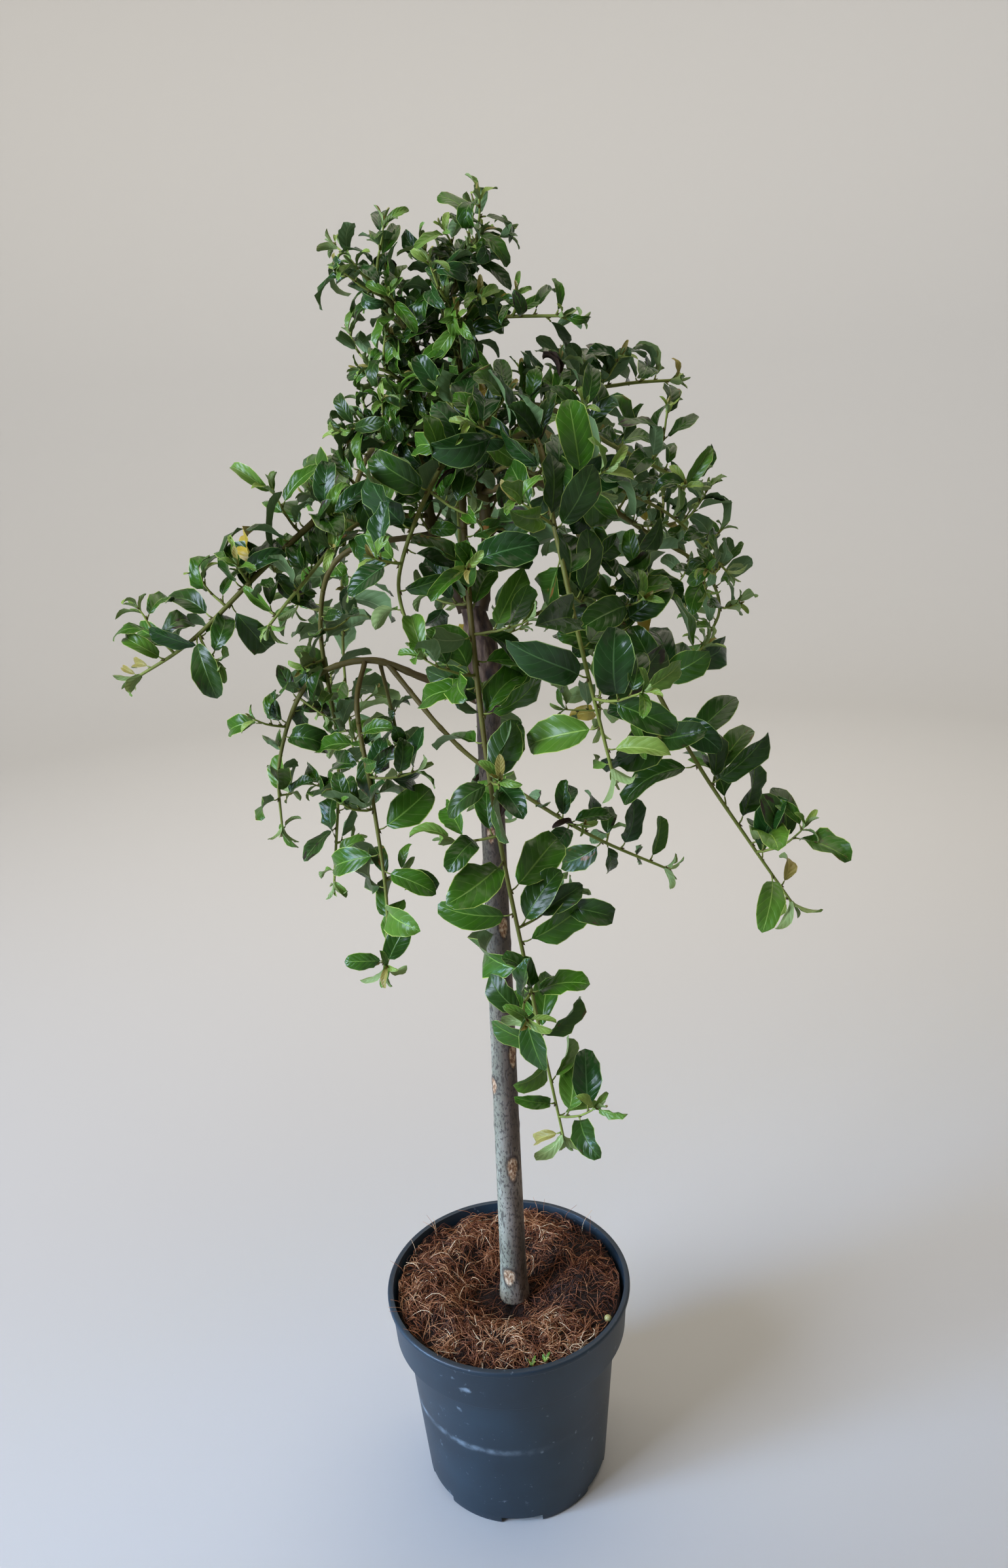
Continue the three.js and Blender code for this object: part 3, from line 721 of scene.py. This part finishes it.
def make_fibres():
    """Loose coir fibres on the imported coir: short and curly, matted in tufts, some standing up, a few long
    ones that stick out over the rim, and a pale one curled into a ring at the front."""
    dice = random.Random(11)
    bm = bar_bmesh()
    for _ in range(FIBRES):
        reach = math.sqrt(dice.uniform((9 * MM) ** 2, (85 * MM) ** 2))
        turn = dice.uniform(0, math.tau)
        spot = Vector((reach * math.cos(turn), reach * math.sin(turn), 0))
        local = noise.noise(spot * 40)
        # The fibre's lightness holds its random tone together with painted shade and a painted pool of light.
        # It picks the fibre's colour.
        light = fibre_tone_and_painted_light(spot, local, dice)
        # Fewer fibres lie where the painted shade is deep, so more of the near-black packed coir shows there.
        if light < dice.uniform(-0.45, 0.2):
            continue
        heading = 4 * math.pi * noise.noise(spot * 22) + dice.gauss(0, 0.8)
        length = dice.uniform(9, 25) * MM
        bend = dice.choice((-1, 1)) * dice.choice((15, 45, 100)) * dice.uniform(0.5, 1)
        arch = max(0.2, dice.gauss(1.8, 1.8)) * MM
        tilt = max(-1.5, dice.gauss(1.2, 2.6)) * MM
        thick = dice.uniform(0.22, 0.46) * MM
        points = []
        for i in range(FIBRE_BENDS + 1):
            share = i / FIBRE_BENDS
            ground = coir_height(spot.length) + coir_lumps(spot) - 1.2 * MM
            points.append(Vector((spot.x, spot.y, ground + arch * math.sin(math.pi * share) + tilt * share)))
            heading += bend * length / FIBRE_BENDS
            spot = spot + Vector((math.cos(heading), math.sin(heading), 0)) * length / FIBRE_BENDS
            if spot.length > FIBRE_LIMIT:
                spot = spot * (FIBRE_LIMIT / spot.length)
                heading += 0.8
        slot = max(i for i, level in enumerate(FIBRE_LEVELS) if light > level)
        add_bar(bm, points, taper(thick, thick * 0.5), 3, slot=slot)
    for _ in range(STRAY_FIBRES):
        turn = dice.gauss(math.radians(130), 1.3)
        out = Vector((math.cos(turn), math.sin(turn), 0))
        aside = Vector((-out.y, out.x, 0)) * dice.gauss(0, 0.5)
        root = out * 84 * MM + UP * (coir_height(84 * MM) - 1 * MM)
        length = dice.uniform(12, 22) * MM
        points = [
            root,
            root + (out * 0.3 + UP * 0.9 + aside * 0.4).normalized() * length * 0.5,
            root + (out * 0.75 + UP * 0.8 + aside).normalized() * length,
        ]
        add_bar(bm, Path(points, 3).dots, taper(0.24 * MM, 0.12 * MM), 3, slot=dice.choice((2, 3, 4)))
    ring = []
    for i in range(13):
        side, rise = math.cos(0.5 * i), math.sin(0.5 * i)
        ring.append(Vector((46 + 4.2 * side, -73 + 2.4 * rise, 168 + 2.6 * rise)) * MM)
    add_bar(bm, ring, taper(0.4 * MM, 0.25 * MM), 3, slot=len(FIBRE_COLOURS) - 1)
    materials = [
        new_material("coir_fibre_" + name, Base_Color=linear(colour), Roughness=0.85, IOR=1.4)[0]
        for name, colour in FIBRE_COLOURS.items()
    ]
    piece("coir_fibres", bm, materials, "coir_fibre", "growing_medium")


def make_pellet():
    """One round pellet of slow fertiliser at the edge of the coir, in its dull resin coat."""
    bm = bmesh.new()
    bmesh.ops.create_icosphere(
        bm, subdivisions=2, radius=2.8 * MM, matrix=Matrix.Translation(Vector((73, -44, 167)) * MM))
    resin = new_material(
        "resin_coated_pellet", Base_Color=linear("#a3a066"), Roughness=0.45, IOR=1.5)[0]
    piece("fertiliser_pellet", bm, [resin], "coir_fibre", "growing_medium")


make_coir_mat()
make_fibres()
make_pellet()

# ---------- stem, graft and boughs ----------

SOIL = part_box("stem")[0].z
GRAFT = 645 * MM
KNOB_TOP = 703 * MM
STEM_RINGS = 420
FOOT_RADIUS, TOP_RADIUS = 10.3, 7.8  # in millimetres
FLARE, FLARE_REACH = 1.6, 14 * MM  # how far the foot flares out, in millimetres, and how fast that fades
FOOT_X, LEAN = 4 * MM, 4 * MM  # the foot stands right of the pot's axis, and the stem leans to the right
BUD_GAP = 23 * MM

# Where side shoots were pruned: the turn and height of each shield-shaped scar, half its height and half
# its width.
Scar = namedtuple("Scar", "turn height tall wide")
SCARS = [
    Scar(248, 180, 8.5, 5.6), Scar(287, 279, 12, 4.6), Scar(205, 349, 8, 4), Scar(316, 374, 11, 4.2),
    Scar(232, 432, 7, 3.4), Scar(296, 478, 9, 3.8), Scar(80, 240, 9, 4.2), Scar(120, 320, 9, 4),
    Scar(60, 410, 8, 3.6), Scar(255, 548, 7, 3.2), Scar(150, 520, 7, 3.4), Scar(290, 602, 6, 3),
]


def stem_middle(height):
    """The middle of the stem at a height."""
    return Vector((FOOT_X + LEAN * (height - SOIL) / (GRAFT - SOIL), 0, height))


def make_stem(bark):
    """The straight stem, with its root flare, faint ridges and bud scars, and the shield-shaped scars of
    pruned side shoots."""
    length = GRAFT - SOIL
    points = [stem_middle(SOIL + length * i / STEM_RINGS) for i in range(STEM_RINGS + 1)]

    def radius(share, angle):
        height = SOIL + share * length
        plain = FOOT_RADIUS + (TOP_RADIUS - FOOT_RADIUS) * share
        plain += FLARE * math.exp(-share * length / FLARE_REACH)
        around = Vector((math.cos(angle), math.sin(angle), height * 6))
        ridge = 0.3 * noise.noise(around * 1.2) + 0.06 * noise.noise(around * 6)
        swell = 0.35 * max(0, math.sin(height / BUD_GAP + 2 * math.sin(height * 41))) ** 12
        return (plain + ridge + swell) * MM

    bm = bar_bmesh()
    marks = [bm.verts.layers.float.new(name) for name in ("scar", "scar_lip")]
    for vert in add_bar(bm, points, radius, 48):
        middle = stem_middle(vert.co.z)
        away = vert.co - middle
        angle = math.degrees(math.atan2(away.y, away.x))
        for scar in SCARS:
            aside = math.radians((angle - scar.turn + 180) % 360 - 180) * away.length / MM
            above = (vert.co.z / MM - scar.height) / scar.tall
            off = math.hypot(aside / (scar.wide * (1 + 0.35 * max(-1, min(1, above)))), above)
            if off > 1.6:
                continue
            ring = math.exp(-(((off - 1) / 0.14) ** 2))
            inside = 1 - smooth(off, 0.78, 0.94)
            vert[marks[0]] = max(vert[marks[0]], inside)
            vert[marks[1]] = max(vert[marks[1]], 0.85 * ring)
            vert.co += away.normalized() * (0.5 * ring - 0.3 * inside) * MM
    bm.loops.layers.uv.remove(bm.loops.layers.uv[UV_NAME])
    piece("bark_stem", bm, [bark], "stem_bark", "stem")


def make_knob(bark):
    """The swollen graft, dark and knotty, with the ring where the scion was bound."""
    middle = Vector((6 * MM, 0, (GRAFT + KNOB_TOP) / 2))
    path = Path([stem_middle(GRAFT - 4 * MM), middle, Vector((1 * MM, 0, KNOB_TOP))])
    points = path.stretch(0, 1, 1.2 * MM)

    def radius(share, angle):
        bulge = math.sin(math.pi * min(1, 0.1 + share))
        around = Vector((math.cos(angle), math.sin(angle), share * 2.4))
        ring = 0.9 * math.exp(-(((share - 0.1) / 0.035) ** 2))
        groove = 0.5 * math.exp(-(((share - 0.17) / 0.02) ** 2))
        knots = 1.5 * noise.noise(around * 1.7) + 0.6 * noise.noise(around * 5)
        return (7.9 + 2.5 * bulge + knots + (ring - groove)) * MM

    bm = bar_bmesh()
    add_bar(bm, points, radius, 36)
    piece("bark_graft_knob", bm, [bark], "old_bark", "graft_knob")


OLD_THICK = 2.5  # a limb thicker than this, in millimetres, counts as old wood


def youth_at(limb, share):
    """How young the bark is at a share of a limb, from 0 on old wood to 1 at a growing tip."""
    old = smooth(limb.thick, 1.5, 3.5)
    return min(1, (0.35 - 0.25 * old) + (0.6 + 0.1 * old) * share)


def wood_radius(limb, share):
    """The radius of a limb's wood at a share of its length."""
    return limb.thick * MM + (TIP_RADIUS - limb.thick * MM) * share


def make_bough(name, limb, bark):
    """The bare stretch of a limb, with its knots and the swellings where buds sat."""
    path = limb_path(name)
    end = limb.bare if limb.habit else 1
    points = path.stretch(0, end, 2.5 * MM)
    seed = len(name) + limb.thick
    rough = 0.05 + 0.09 * smooth(limb.thick, 1.5, 5)

    def radius(share, angle):
        around = Vector((math.cos(angle), math.sin(angle), seed + share * end * path.length / (9 * MM)))
        knots = 0.14 * max(0, math.sin(share * end * path.length / (2.6 * MM) + seed)) ** 8
        return wood_radius(limb, share * end) * (1 + rough * 2.2 * noise.noise(around) + knots)

    bm = bar_bmesh()
    add_bar(bm, points, radius, 12, (youth_at(limb, 0), youth_at(limb, end)))
    slot = "old_bark" if limb.thick > OLD_THICK else "twig_bark"
    piece("bark_" + name, bm, [bark], slot, "bough_" + name)


make_stem(stem_bark())
make_knob(old_bark())
young_bark = twig_bark()
for name, limb in CROWN.items():
    if limb.bare:
        make_bough(name, limb, young_bark)

# ---------- leaves ----------

LEAF_ROWS = 9
LEAF_COLUMNS = 4
LEAF_THICKNESS = 0.3 * MM


def leaf_blank():
    """A flat leaf of two skins that meet at its edge. Its x runs across from -1 to 1, its y from stalk to
    tip, and its z is 1 on the upper skin and -1 on the lower one."""
    bm = bmesh.new()
    bmesh.ops.create_grid(bm, x_segments=LEAF_COLUMNS, y_segments=LEAF_ROWS, size=1, calc_uvs=False)
    layer = bm.loops.layers.uv.new(UV_NAME)
    for face in bm.faces:
        for loop in face.loops:
            x, y, _ = loop.vert.co
            loop[layer].uv = (0.5 + 0.48 * x, 0.5 + 0.48 * y)
    for vert in bm.verts:
        share = (vert.co.y + 1) / 2
        vert.co.y = 0.45 * share + 0.55 * (1 - math.cos(math.pi * share)) / 2
        if share < 0.01 or share > 0.99:
            vert.co.x = 0
    lower = bmesh.ops.duplicate(bm, geom=bm.verts[:] + bm.edges[:] + bm.faces[:])["geom"]
    lower_faces = [item for item in lower if isinstance(item, bmesh.types.BMFace)]
    bmesh.ops.reverse_faces(bm, faces=lower_faces)
    for face in lower_faces:
        face.material_index = 1
    lower_verts = {item for item in lower if isinstance(item, bmesh.types.BMVert)}
    for vert in bm.verts:
        if abs(vert.co.x) < 0.99 and 0.01 < vert.co.y < 0.99:
            vert.co.z = -1 if vert in lower_verts else 1
    bmesh.ops.remove_doubles(bm, verts=bm.verts, dist=1e-4)
    for edge in bm.edges:
        edge.smooth = len({face.material_index for face in edge.link_faces}) < 2
    return mesh_of("leaf_blank", bm)


LEAF_BLANK = leaf_blank()
BITTEN = 0.05  # the share of the leaves that have a bite out of one side
Leaf = namedtuple("Leaf", "base heading facing length width curl fold kind")


def add_leaf(bm, leaf, dice):
    """Shapes one leaf: its outline, its crease, the wave of its edge and the way it curls."""
    fullest, blunt = dice.uniform(0.55, 0.8), dice.uniform(0.5, 0.66)
    peak = fullest / (fullest + blunt)
    most = peak**fullest * (1 - peak) ** blunt
    sway = dice.gauss(0, 0.32)
    twist = dice.gauss(0, 0.5)
    wave, waves, phase = dice.uniform(0.04, 0.13), dice.uniform(1.2, 2.8), dice.uniform(0, math.tau)
    bitten = dice.random() < BITTEN
    bite_side, bite_spot = dice.choice((-1, 1)), dice.uniform(0.4, 0.9)

    ahead = leaf.heading.normalized()
    over = (leaf.facing - ahead * leaf.facing.dot(ahead)).normalized()
    rows = sorted({round(vert.co.y, 5) for vert in LEAF_BLANK.vertices})
    uneven = {row: (dice.uniform(0.93, 1.05), dice.uniform(0.93, 1.05)) for row in rows}
    middle, frames, last = leaf.base.copy(), {}, 0
    for row in rows:
        step = row - last
        turn = Matrix.Rotation(-leaf.curl * (row**1.5 - last**1.5), 3, ahead.cross(over))
        turn = Matrix.Rotation(sway * step, 3, over) @ Matrix.Rotation(twist * step, 3, ahead) @ turn
        ahead, over = turn @ ahead, turn @ over
        middle = middle + ahead * step * leaf.length
        frames[row] = (middle.copy(), ahead.cross(over), over.copy())
        last = row

    verts, faces = add_blank(bm, LEAF_BLANK)
    for vert in verts:
        x, row, skin = vert.co
        middle, side, over = frames[round(row, 5)]
        half = leaf.width / 2 * row**fullest * (1 - row) ** blunt / most if 0 < row < 1 else 0
        half *= uneven[round(row, 5)][x > 0]
        if bitten and x * bite_side > 0.3:
            half *= 1 - 0.55 * math.exp(-(((row - bite_spot) / 0.09) ** 2))
        out = x * half
        crease = abs(out) * math.sin(leaf.fold)
        pillow = 0.1 * half * abs(x) * (1 - abs(x)) * 4
        ripple = wave * leaf.width * x * x * math.sin(waves * math.tau * row + phase + (2 if x > 0 else 0))
        vert.co = (
            middle + side * out * math.cos(leaf.fold)
            + over * (crease + pillow + ripple + skin * LEAF_THICKNESS / 2)
        )
    layer = bm.loops.layers.uv[UV_NAME]
    under = "under_young" if leaf.kind.startswith(("young", "fresh")) else "under"
    if leaf.kind in ("yellow", "withered"):
        under = leaf.kind
    kinds = [leaf.kind, under]
    order = list(LEAF_KINDS)
    for face in faces:
        kind = kinds[face.material_index]
        column, line = cell_of(kind)
        face.material_index = order.index(kind)
        for loop in face.loops:
            spot = loop[layer].uv
            loop[layer].uv = ((column + spot.x) / MAP_CELLS, (line + spot.y) / MAP_CELLS)


# ---------- shoots ----------

# A shoot's line, its first and last radius, the youth of its bark at both ends, the length of its leaves
# and the gap between them, its habit, and whether it branches straight from a limb.
Shoot = namedtuple("Shoot", "points thick youth leaf gap habit main")


def jitter(dice, size):
    """A small random step."""
    return Vector((dice.gauss(0, 1), dice.gauss(0, 1), dice.gauss(0, 1))) * size


def side_shoot(start, heading, length, lift, dice):
    """The line of a side shoot, which wanders a little and bends towards the light as it grows."""
    steps = max(3, round(length / (5 * MM)))
    points = [start]
    for _ in range(steps):
        heading = (heading + UP * lift * 0.5 + jitter(dice, 0.1)).normalized()
        points.append(points[-1] + heading * length / steps)
    return points


def side_shoots(path, first, last, limb, leaf, habit, dice):
    """Side shoots at golden turns round a stretch of a limb, closer together where it begins."""
    found = []
    reach = path.length * (last - first)
    turn = dice.uniform(0, math.tau)
    spot = habit.side_gap * MM * dice.uniform(0.2, 0.6)
    while spot < reach * 0.95:
        share = first + spot / path.length
        crowding = 0.3 + 0.7 * smooth(spot / reach, 0.05, 0.5) if habit is HABITS["hanging"] else 1
        along = path.heading(share)
        side = along.orthogonal().normalized()
        turn += GOLDEN_TURN
        out = side * math.cos(turn) + along.cross(side) * math.sin(turn)
        heading = (along * 0.55 + out * 0.9 + UP * 0.45).normalized()
        length = leaf * habit.side_length * dice.uniform(0.6, 1.15)
        youth = youth_at(limb, share)
        found.append(Shoot(
            side_shoot(path.at(share), heading, length, habit.lift, dice),
            (SIDE_SHOOT_RADIUS, TIP_RADIUS * 0.6), (min(0.9, youth + 0.15), 1),
            leaf * (0.95 if habit is HABITS["tuft"] else 0.78), habit.leaf_gap * MM, habit, False))
        spot += habit.side_gap * MM * crowding * dice.uniform(0.75, 1.3)
    return found


def shoots_of(name, limb, dice):
    """A mass's shoots: the leafy stretch of its limb, and the side shoots that branch from it."""
    path = limb_path(name)
    habit = HABITS[limb.habit]
    main = Shoot(
        path.stretch(limb.bare, 0.985, 4 * MM), (wood_radius(limb, limb.bare), TIP_RADIUS),
        (youth_at(limb, limb.bare), youth_at(limb, 1)), limb.leaf * MM, limb.gap * MM, habit, True)
    return [main, *side_shoots(path, limb.bare, 1, limb, limb.leaf * MM, habit, dice)]


def light_direction(point):
    """Where the leaves at a point turn their faces: outwards and up, and those in front to the window."""
    out = Vector((point.x, point.y, 0))
    out = out.normalized() if out.length > 1 * MM else FRONT.copy()
    behind = smooth(out.y, -0.1, 0.6)
    return (out * (0.4 + 0.7 * behind) + UP * 0.5 + FRONT * 0.75 * (1 - behind)).normalized()


OLD_KINDS = ["deep", "deep", "deep_blue", "middle", "deep_worn", "deep_blue", "middle", "middle_worn"]
TIP_KINDS = ["young", "fresh_pale", "young", "young_bronze"]
NEAR_TIP_KINDS = ["fresh", "fresh_pale", "middle", "fresh"]
RARE_KINDS = {"blemished": 0.06, "deep_spotted": 0.035, "yellow": 0.008, "withered": 0.012, "fresh": 0.05}
TIP_FROM = 0.93  # the shares of a shoot past which its leaves are young, or nearly so
NEAR_TIP_FROM = 0.84


def leaf_kind(share, spray, dice):
    """A leaf's kind: young towards the tip, now and then a blemished one, and else one of its spray's."""
    if share > TIP_FROM:
        return dice.choice(TIP_KINDS)
    if share > NEAR_TIP_FROM:
        return dice.choice(NEAR_TIP_KINDS)
    chance = dice.random()
    for kind, part in RARE_KINDS.items():
        chance -= part
        if chance < 0:
            return kind
    return dice.choice(spray)


def add_stalk(twigs, root, heading, along, radius, length):
    """A leaf's stalk and the bud beside it. Returns where the blade begins."""
    elbow = root + (heading + along * 0.3).normalized() * (length * 0.5 + radius)
    base = elbow + heading * length * 0.6
    add_bar(twigs, [root, elbow, base], taper(0.7 * MM, 0.5 * MM), 3, (0.8, 0.95))
    tip = root + (along + heading * 0.5).normalized() * (radius + 2 * MM)
    add_bar(
        twigs, [root, root.lerp(tip, 0.5), tip],
        lambda share, angle: 0.9 * MM * math.sin(math.pi * (0.25 + 0.7 * share)), 4, (0.25, 0.45))
    return base


def dress(shoot, twigs, leaves, dice):
    """Adds a shoot's wood, and a leaf with its stalk and bud at each of its nodes."""
    habit, line = shoot.habit, Path(shoot.points, 2)
    thick, thin = shoot.thick
    add_bar(twigs, shoot.points, taper(thick, thin), 6, shoot.youth)
    spray = [dice.choice(OLD_KINDS) for _ in range(3)]
    distance = shoot.gap * dice.uniform(0.2, 0.6)
    sign = dice.choice((-1, 1))
    azimuth = dice.uniform(0, math.tau)
    weeping = shoot.main and habit is HABITS["hanging"]
    while distance < line.length:
        share = distance / line.length
        grown = 0.62 + 0.38 * smooth(share, 0.06, 0.42) if weeping else 1
        near_tip = smooth(share, 0.8, 1)
        along, point = line.heading(share), line.at(share)
        light = light_direction(point)
        side = along.cross(light)
        side = side.normalized() if side.length > 0.05 else along.orthogonal().normalized()
        across = (light - along * light.dot(along)).normalized()
        azimuth += GOLDEN_TURN
        around = side * math.cos(azimuth) + across * math.sin(azimuth)
        heading = (
            side * sign * 0.9 * (1 - habit.all_round)
            + around * (0.4 + 0.5 * habit.all_round)
            + along * (0.15 + (0.25 + 0.5 * near_tip) * habit.all_round)
            + UP * (habit.rise + dice.gauss(0, 0.28))
        ).normalized()
        upright = max(0, along.z) * habit.all_round
        facing = (light * (1 - 0.6 * upright) + along * upright + UP * 0.3 * upright + jitter(dice, 0.42))
        size = shoot.leaf * grown * dice.uniform(0.82, 1.12) * (1 - 0.5 * near_tip)
        slim = habit.slim * dice.uniform(0.86, 1.12) * (1 - 0.25 * near_tip)
        curl = math.radians(habit.curl * dice.uniform(0.3, 1.7) + (dice.random() < 0.13) * 70)
        fold = math.radians(max(4, dice.gauss(19, 11) + 20 * near_tip))
        kind = leaf_kind(share, spray, dice)
        if kind == "withered":
            size, curl, fold = size * 0.7, curl + 1.2, fold + 0.7
        radius = thick + (thin - thick) * share
        base = add_stalk(twigs, point + heading * radius * 0.5, heading, along, radius, size * 0.11)
        add_leaf(leaves, Leaf(base, heading, facing.normalized(), size, size * slim, curl, fold, kind), dice)
        distance += shoot.gap * grown * dice.uniform(0.8, 1.2) * (1 - 0.45 * near_tip)
        sign = -sign
    add_tip(line, leaves, shoot.leaf, azimuth, dice)


def add_tip(line, leaves, leaf, azimuth, dice):
    """The unfolding leaves that close round the tip of a shoot, the outer ones longer and more bent back."""
    along = line.heading(1)
    first = along.orthogonal().normalized()
    for i in range(4):
        out = Matrix.Rotation(i * GOLDEN_TURN + azimuth, 3, along) @ first
        heading = (along + out * (0.12 + 0.22 * i) + jitter(dice, 0.08)).normalized()
        size = leaf * (0.3 + 0.1 * i) * dice.uniform(0.85, 1.15)
        curl = math.radians((8 + 22 * i) * dice.uniform(0.7, 1.3))
        kind = dice.choice(("young", "young_bronze") if i < 2 else ("fresh", "fresh_pale", "young"))
        base = line.at(1) - along * 1.2 * MM * i
        add_leaf(leaves, Leaf(
            base, heading, along - out, size, size * 0.36, curl, math.radians(42 - 5 * i), kind), dice)


def make_foliage(name, shoots, node, leaf_materials, dice):
    """The twigs and the leaves of some shoots, as two joined pieces."""
    twigs, leaves = bar_bmesh(), bar_bmesh()
    for shoot in shoots:
        dress(shoot, twigs, leaves, dice)
    piece("twigs_" + name, twigs, [young_bark], "twig_bark", node)
    piece("leaves_" + name, leaves, leaf_materials, "leaf_green", node)


leaf_materials = [leaf_material(kind) for kind in LEAF_KINDS]
for number, (name, limb) in enumerate(CROWN.items()):
    dice = random.Random(100 + number)
    if limb.habit:
        make_foliage(name, shoots_of(name, limb, dice), "mass_" + name, leaf_materials, dice)
    else:
        spurs = side_shoots(limb_path(name), 0.3, 1, limb, 29 * MM, HABITS["spur"], dice)
        make_foliage(name, spurs, "bough_" + name, leaf_materials, dice)


def make_seedlings():
    """Two tiny green seedlings at the front of the coir."""
    dice = random.Random(5)
    bm = bar_bmesh()
    for root in (Vector((13, -82, 164)) * MM, Vector((23, -80, 165)) * MM):
        for i in range(4):
            turn = i * GOLDEN_TURN
            heading = Vector((math.cos(turn), math.sin(turn), 1.6)).normalized()
            kind = "fresh" if i % 2 else "young"
            add_leaf(bm, Leaf(root, heading, UP + FRONT, (5 + i) * MM, 2 * MM, 0.6, 0.3, kind), dice)
    piece("seedlings", bm, leaf_materials, "leaf_green", "growing_medium")


make_seedlings()

# ---------- camera, floor and light ----------


EYE = (0, -0.753, 0.8368)
SENSOR = 36  # the height of the sensor and the length of the lens, in millimetres
LENS = 27.04508


def make_camera():
    """Looks down on the plant from the front, a little panned and tilted, as a hand holds it."""
    pitch, pan, roll = math.radians(18.74), math.radians(1.21), math.radians(-2.87)
    ahead = Vector((math.sin(pan) * math.cos(pitch), math.cos(pan) * math.cos(pitch), -math.sin(pitch)))
    level = Vector((math.cos(pan), -math.sin(pan), 0))
    over = level.cross(ahead)
    right = level * math.cos(roll) + over * math.sin(roll)
    up = over * math.cos(roll) - level * math.sin(roll)
    data = bpy.data.cameras.new("camera")
    data.sensor_fit = "VERTICAL"
    data.sensor_height = SENSOR
    data.lens = LENS
    data.clip_start = 0.05
    camera = in_scene("camera", data)
    camera.matrix_world = Matrix.Translation(EYE) @ Matrix((right, up, -ahead)).transposed().to_4x4()
    bpy.context.scene.camera = camera


make_camera()


def make_floor():
    """A plain pale studio floor that sweeps up into a round wall."""
    flat, bend, top = 2400, 900, 3200
    outline = [(0, 0), (flat, 0)]
    for i in range(1, 9):
        angle = math.radians(90 * i / 8)
        outline.append((flat + bend * math.sin(angle), bend * (1 - math.cos(angle))))
    outline.append((flat + bend, top))
    paint = new_material("studio_floor_paint", Base_Color=linear("#b3b4b1"), Roughness=0.9)[0]
    in_scene("studio_floor", mesh_of("studio_floor", turned(outline, 64), [paint]))


make_floor()


def make_light(name, spot, target, size, power, colour, spread=180):
    """A soft light panel at a spot, turned to its target. Its power is in watts and its spread in
    degrees."""
    data = bpy.data.lights.new(name, "AREA")
    data.spread = math.radians(spread)
    data.shape = "RECTANGLE"
    data.size, data.size_y = size
    data.energy = power
    data.color = linear(colour)[:3]
    made = in_scene(name, data)
    made.location = spot
    made.rotation_euler = (Vector(target) - Vector(spot)).to_track_quat("-Z", "Y").to_euler()


make_light("window", (-1.6, -0.9, 1.3), (0, 0, 0.5), (1.0, 1.3), 70, "#cfdcfa")
make_light("ceiling", (0.3, 0.3, 2.6), (0, 0, 0.4), (2.4, 2.4), 31, "#fff1e2")
make_light("low_window", (-1.5, -0.5, 0.42), (0, 0, 0.14), (0.4, 0.4), 1.3, "#97c6f6", spread=30)
make_light("room", (1.5, -1.3, 1.2), (0, 0, 0.5), (1.4, 1.4), 1.5, "#ffeedd")
make_light("wall_wash", (0, 0.9, 2.3), (0, 3.0, 0.9), (3.0, 0.8), 67, "#fff4e8")

world = bpy.data.worlds.new("studio")
bpy.context.scene.world = world
world.use_nodes = True
sky = world.node_tree.nodes["Background"]
sky.inputs["Color"].default_value = linear("#e6e2df")
sky.inputs["Strength"].default_value = 0.11
bpy.context.scene.view_settings.view_transform = "Standard"
